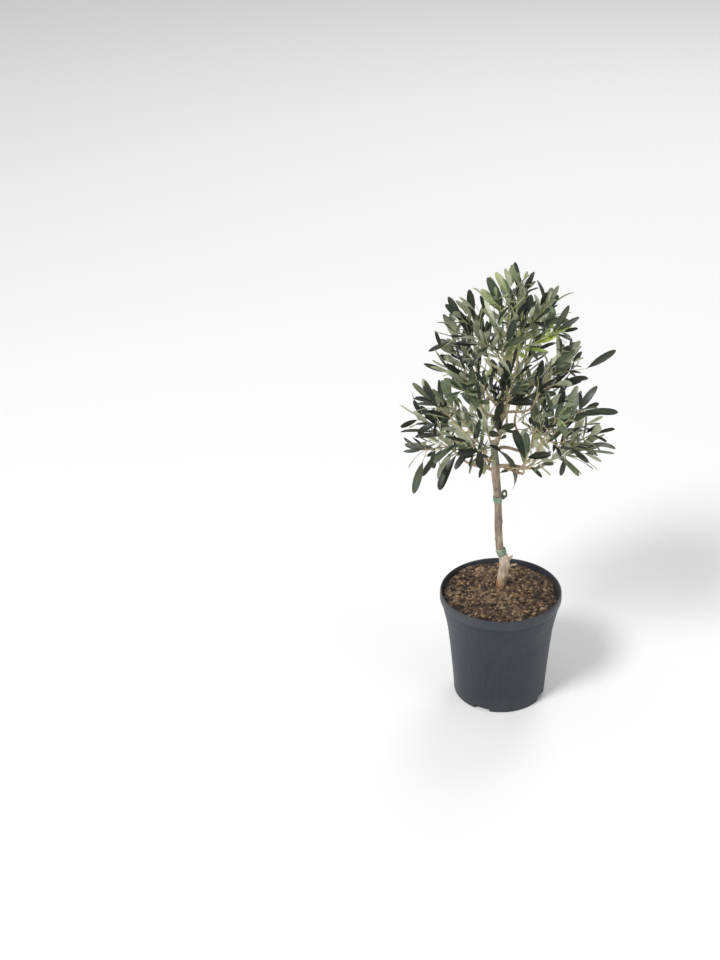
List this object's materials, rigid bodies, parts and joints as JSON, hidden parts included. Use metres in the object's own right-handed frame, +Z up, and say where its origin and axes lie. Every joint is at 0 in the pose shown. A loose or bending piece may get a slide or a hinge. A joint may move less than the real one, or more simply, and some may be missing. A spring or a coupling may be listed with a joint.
{
  "type": "potted olive tree",
  "caption": "Young standard olive tree: a short bare stem that carries an open, roughly conical crown of opposite narrow leaves, growing in a round tapered nursery pot filled with peat.",
  "frame": {"origin": "middle of the pot's flat underside, on the surface the pot stands on", "axes": "+Z up along the pot's axis, -Y toward the side of the tree that the picture shows, +X to the right of that view"},
  "size_m": [0.3238, 0.3178, 0.728],
  "materials": {
    "pot_plastic": "satin moulded slate-grey plastic with fine vertical draw lines and a slightly shinier rim",
    "peat": "matt crumbly brown peat with wood chips and a few pale grains",
    "bark": "matt grey-beige young olive bark with shallow lengthwise cracks and small warts",
    "young_bark": "smooth matt beige-green shoot bark, greener toward the tips",
    "tie_tape": "soft matt grey-green plant tie tape",
    "leaves": "leathery leaves, dark grey-green and softly glossy above, matt silvery green below"
  },
  "bodies": {
    "root": {"pot": "pot_plastic", "soil": "peat", "trunk": "bark", "tie_lower": "tie_tape", "tie_upper": "tie_tape", "leader": "bark", "low_bough_1": "young_bark", "low_bough_2": "young_bark", "low_bough_3": "young_bark", "low_bough_4": "young_bark", "low_bough_5": "young_bark", "low_bough_6": "young_bark", "fork_bough_1": "young_bark", "fork_bough_2": "young_bark", "fork_bough_3": "young_bark", "fork_bough_4": "young_bark", "fork_bough_5": "young_bark", "fork_bough_6": "young_bark", "middle_bough_1": "young_bark", "middle_bough_2": "young_bark", "middle_bough_3": "young_bark", "middle_bough_4": "young_bark", "middle_bough_5": "young_bark", "upper_bough_1": "young_bark", "upper_bough_2": "young_bark", "upper_bough_3": "young_bark", "upper_bough_4": "young_bark", "top_bough_1": "young_bark", "top_bough_2": "young_bark", "low_foliage_1": "leaves", "low_foliage_2": "leaves", "low_foliage_3": "leaves", "low_foliage_4": "leaves", "low_foliage_5": "leaves", "low_foliage_6": "leaves", "fork_foliage_1": "leaves", "fork_foliage_2": "leaves", "fork_foliage_3": "leaves", "fork_foliage_4": "leaves", "fork_foliage_5": "leaves", "fork_foliage_6": "leaves", "middle_foliage_1": "leaves", "middle_foliage_2": "leaves", "middle_foliage_3": "leaves", "middle_foliage_4": "leaves", "middle_foliage_5": "leaves", "upper_foliage_1": "leaves", "upper_foliage_2": "leaves", "upper_foliage_3": "leaves", "upper_foliage_4": "leaves", "top_foliage_1": "leaves", "top_foliage_2": "leaves", "inner_foliage_1": "leaves", "inner_foliage_2": "leaves", "inner_foliage_3": "leaves", "inner_foliage_4": "leaves", "crest_foliage": "leaves"}
  },
  "joints": []
}
